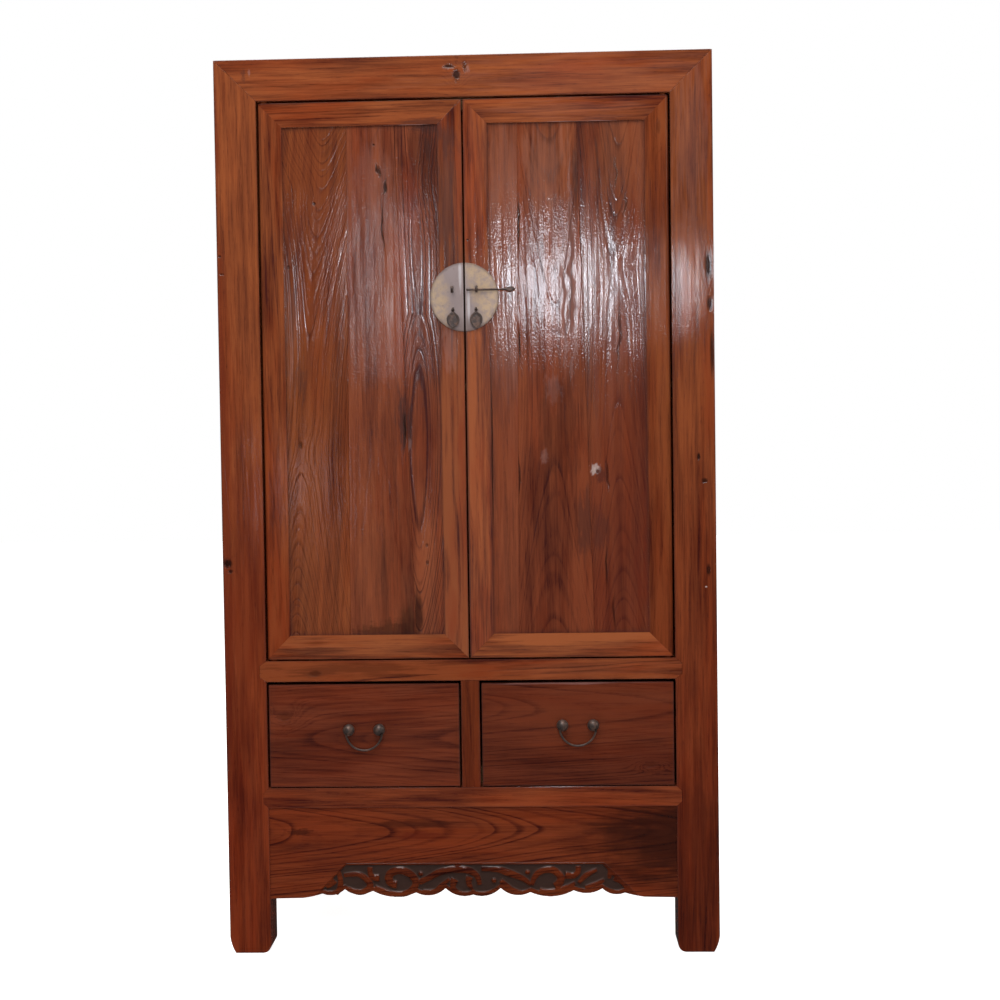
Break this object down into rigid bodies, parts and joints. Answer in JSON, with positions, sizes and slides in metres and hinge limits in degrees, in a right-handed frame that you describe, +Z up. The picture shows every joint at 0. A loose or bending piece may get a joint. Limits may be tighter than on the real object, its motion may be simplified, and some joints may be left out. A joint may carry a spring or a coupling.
{
  "type": "kang cabinet",
  "caption": "Tall standing cabinet with two framed doors on wooden pivots over two drawers, a carved scalloped apron and a round metal lock plate.",
  "frame": {"origin": "on the floor, under the middle of the whole cabinet with its handles", "axes": "+X to the right of someone facing the doors, the doors face -Y, +Z up"},
  "size_m": [1.03, 0.536, 1.87],
  "materials": {
    "lacquered_wood": "gloss",
    "plain_wood": "matte",
    "brass_plate": "satin",
    "dark_iron": "satin"
  },
  "bodies": {
    "carcass": {"front_left_post": "lacquered_wood", "front_right_post": "lacquered_wood", "rear_left_post": "lacquered_wood", "rear_right_post": "lacquered_wood", "front_top_rail": "lacquered_wood", "rear_top_rail": "lacquered_wood", "left_top_rail": "lacquered_wood", "right_top_rail": "lacquered_wood", "front_middle_rail": "lacquered_wood", "rear_middle_rail": "lacquered_wood", "left_middle_rail": "lacquered_wood", "right_middle_rail": "lacquered_wood", "front_lower_rail": "lacquered_wood", "rear_lower_rail": "lacquered_wood", "left_lower_rail": "lacquered_wood", "right_lower_rail": "lacquered_wood", "left_upper_panel": "lacquered_wood", "left_lower_panel": "lacquered_wood", "right_upper_panel": "lacquered_wood", "right_lower_panel": "lacquered_wood", "rear_upper_panel": "plain_wood", "rear_lower_panel": "plain_wood", "top_panel": "lacquered_wood", "top_panel_battens": "plain_wood", "compartment_floor": "plain_wood", "shelf": "plain_wood", "shelf_bearers": "plain_wood", "door_stop": "plain_wood", "drawer_divider": "lacquered_wood", "drawer_runners": "plain_wood", "front_apron": "lacquered_wood", "left_apron": "lacquered_wood", "right_apron": "lacquered_wood"},
    "left_door": {"left_door_hinge_stile": "lacquered_wood", "left_door_meeting_stile": "lacquered_wood", "left_door_rails": "lacquered_wood", "left_door_panel": "lacquered_wood", "left_door_battens": "plain_wood", "left_lock_plate": "brass_plate", "left_door_staples": "dark_iron"},
    "left_drop": {"left_drop_pull": "dark_iron"},
    "left_drawer": {"left_drawer_front": "lacquered_wood", "left_drawer_box": "plain_wood", "left_drawer_bottom": "plain_wood", "left_handle_bosses": "dark_iron"},
    "left_bail": {"left_bail_handle": "dark_iron"},
    "right_door": {"right_door_hinge_stile": "lacquered_wood", "right_door_meeting_stile": "lacquered_wood", "right_door_rails": "lacquered_wood", "right_door_panel": "lacquered_wood", "right_door_battens": "plain_wood", "right_lock_plate": "brass_plate", "right_door_staples": "dark_iron"},
    "right_drop": {"right_drop_pull": "dark_iron"},
    "right_drawer": {"right_drawer_front": "lacquered_wood", "right_drawer_box": "plain_wood", "right_drawer_bottom": "plain_wood", "right_handle_bosses": "dark_iron"},
    "right_bail": {"right_bail_handle": "dark_iron"},
    "lock_pin": {"lock_pin": "dark_iron"}
  },
  "joints": [
    {"name": "left_door_hinge", "type": "hinge", "parent": "carcass", "child": "left_door", "pos_m": [-0.414, -0.239, 0.6215], "axis": [0, 0, -1], "range_deg": [0, 95]},
    {"name": "left_drop_swing", "type": "hinge", "parent": "left_door", "child": "left_drop", "pos_m": [-0.024, -0.2558, 1.347], "axis": [-1, 0, 0], "range_deg": [0, 85]},
    {"name": "left_drawer_slide", "type": "slide", "parent": "carcass", "child": "left_drawer", "axis": [0, -1, 0], "range_m": [0, 0.38]},
    {"name": "left_bail_swing", "type": "hinge", "parent": "left_drawer", "child": "left_bail", "pos_m": [-0.22375, -0.2558, 0.4725], "axis": [-1, 0, 0], "range_deg": [0, 50]},
    {"name": "right_door_hinge", "type": "hinge", "parent": "carcass", "child": "right_door", "pos_m": [0.414, -0.239, 0.6215], "axis": [0, 0, 1], "range_deg": [0, 95]},
    {"name": "right_drop_swing", "type": "hinge", "parent": "right_door", "child": "right_drop", "pos_m": [0.024, -0.2558, 1.347], "axis": [-1, 0, 0], "range_deg": [0, 85]},
    {"name": "right_drawer_slide", "type": "slide", "parent": "carcass", "child": "right_drawer", "axis": [0, -1, 0], "range_m": [0, 0.38]},
    {"name": "right_bail_swing", "type": "hinge", "parent": "right_drawer", "child": "right_bail", "pos_m": [0.22375, -0.2558, 0.479], "axis": [-1, 0, 0], "range_deg": [0, 50]},
    {"name": "lock_pin_slide", "type": "slide", "parent": "right_door", "child": "lock_pin", "axis": [1, 0, 0], "range_m": [-0.054, 0.03]}
  ]
}
